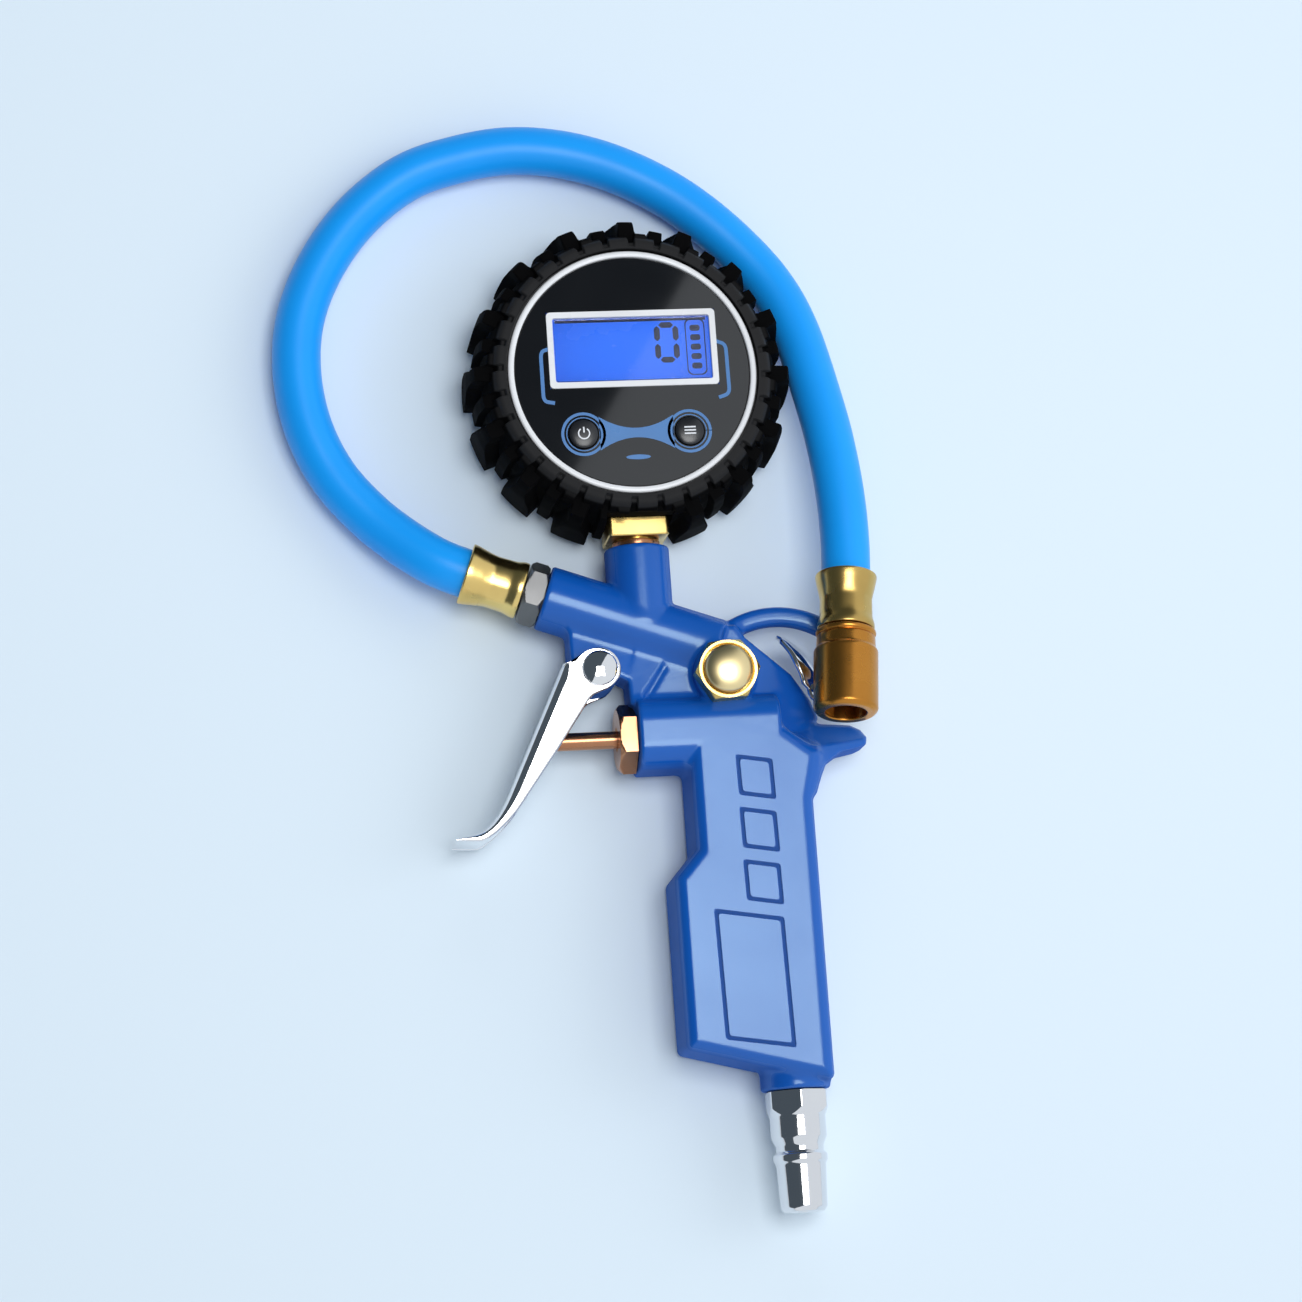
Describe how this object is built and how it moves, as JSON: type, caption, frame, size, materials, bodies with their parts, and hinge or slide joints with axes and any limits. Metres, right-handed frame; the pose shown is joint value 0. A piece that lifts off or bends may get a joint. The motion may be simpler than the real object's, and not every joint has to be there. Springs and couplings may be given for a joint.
{
  "type": "tyre inflator with gauge",
  "caption": "Hand-held tyre inflator: blue die-cast grip with squeeze trigger, round digital gauge in a rubber boot, short blue hose and a brass clip-on chuck.",
  "frame": {"origin": "middle of the tool's footprint, hose and chuck left out, on the surface it lies on", "axes": "+Z out of the gauge's face, away from the surface; +Y along the tool from the air plug to the gauge; +X from the trigger to the back of the grip"},
  "size_m": [0.1438, 0.2736, 0.0321],
  "materials": {
    "blue_casting": "glossy blue paint, slightly orange-peeled",
    "chrome": "mirror chrome",
    "copper": "bright copper-coloured plate",
    "black_rubber": "matt",
    "brass": "polished",
    "chuck_brass": "satin, orange-brown",
    "nickel": "nickel plate, satin",
    "spring_steel": "bright",
    "screw_steel": "zinc plate",
    "steel_mesh": "woven mesh",
    "boot_rubber": "matt, tyre-like",
    "case_plastic": "satin",
    "key_black": "satin",
    "gloss_black": "gloss",
    "white_ring": "satin white",
    "lens": "clear",
    "lcd_blue": "backlit display",
    "board_green": "circuit board",
    "cell_wrap": "printed cell sleeve, bare",
    "hose_blue": "smooth, satin"
  },
  "bodies": {
    "tool": {"gun_body": "blue_casting", "trigger_pin": "chrome", "gland_nut": "copper", "stem_seal": "black_rubber", "valve_seat": "brass", "valve_spring": "spring_steel", "bleed_bush": "brass", "bleed_spring": "spring_steel", "coupler_plug": "chrome", "filter_screen": "steel_mesh", "gauge_boot": "boot_rubber", "case_front": "case_plastic", "case_back": "case_plastic", "battery_door": "case_plastic", "case_screw_1": "screw_steel", "case_screw_2": "screw_steel", "case_screw_3": "screw_steel", "bezel_ring": "white_ring", "face_plate": "gloss_black", "lcd_frame": "white_ring", "lcd_lens": "lens", "lcd_panel": "lcd_blue", "circuit_board": "board_green", "battery_1": "cell_wrap", "battery_2": "cell_wrap", "battery_contact_a": "spring_steel", "battery_contact_b": "spring_steel", "power_switch": "case_plastic", "mode_switch": "case_plastic", "gauge_stem": "brass", "stem_washer": "copper", "pressure_sensor": "spring_steel", "inlet_ferrule": "brass", "inlet_fitting": "nickel", "hose": "hose_blue", "chuck_ferrule": "brass", "chuck_body": "chuck_brass", "chuck_seal": "black_rubber", "chuck_depressor": "brass", "clip_pin": "screw_steel"},
    "trigger": {"trigger_lever": "chrome"},
    "inflation_valve": {"valve_stem": "copper", "poppet_seal": "black_rubber"},
    "bleed": {"bleed_button": "brass", "bleed_seal": "black_rubber"},
    "power_key": {"power_button": "key_black"},
    "mode_key": {"mode_button": "key_black"},
    "clip": {"chuck_clip": "chrome"}
  },
  "joints": [
    {"name": "trigger_hinge", "type": "hinge", "parent": "tool", "child": "trigger", "pos_m": [-0.0155, 0.0102, 0.0105], "axis": [0, 0, 1], "range_deg": [0, 11], "stiffness_Nm_per_rad": 1.25, "springref_deg": -10.26},
    {"name": "valve_travel", "type": "slide", "parent": "tool", "child": "inflation_valve", "axis": [1, 0, 0], "range_m": [0, 0.0045], "deforming": ["valve_spring"]},
    {"name": "bleed_press", "type": "slide", "parent": "tool", "child": "bleed", "axis": [0, 0, -1], "range_m": [0, 0.0015], "stiffness_N_per_m": 1500, "springref_m": -0.003, "deforming": ["bleed_spring"]},
    {"name": "power_press", "type": "slide", "parent": "tool", "child": "power_key", "axis": [0, 0, -1], "range_m": [0, 0.0006], "stiffness_N_per_m": 1500, "springref_m": -0.0006},
    {"name": "mode_press", "type": "slide", "parent": "tool", "child": "mode_key", "axis": [0, 0, -1], "range_m": [0, 0.0006], "stiffness_N_per_m": 1500, "springref_m": -0.0006},
    {"name": "clip_squeeze", "type": "hinge", "parent": "tool", "child": "clip", "pos_m": [0.03811, 0.00169, 0.01931], "axis": [0.626, -0.1879, -0.7569], "range_deg": [0, 12], "stiffness_Nm_per_rad": 0.12, "springref_deg": -17.19}
  ],
  "couplings": [
    {"joint": "valve_travel", "follows": "trigger_hinge", "m_per_rad": 0.0224}
  ]
}
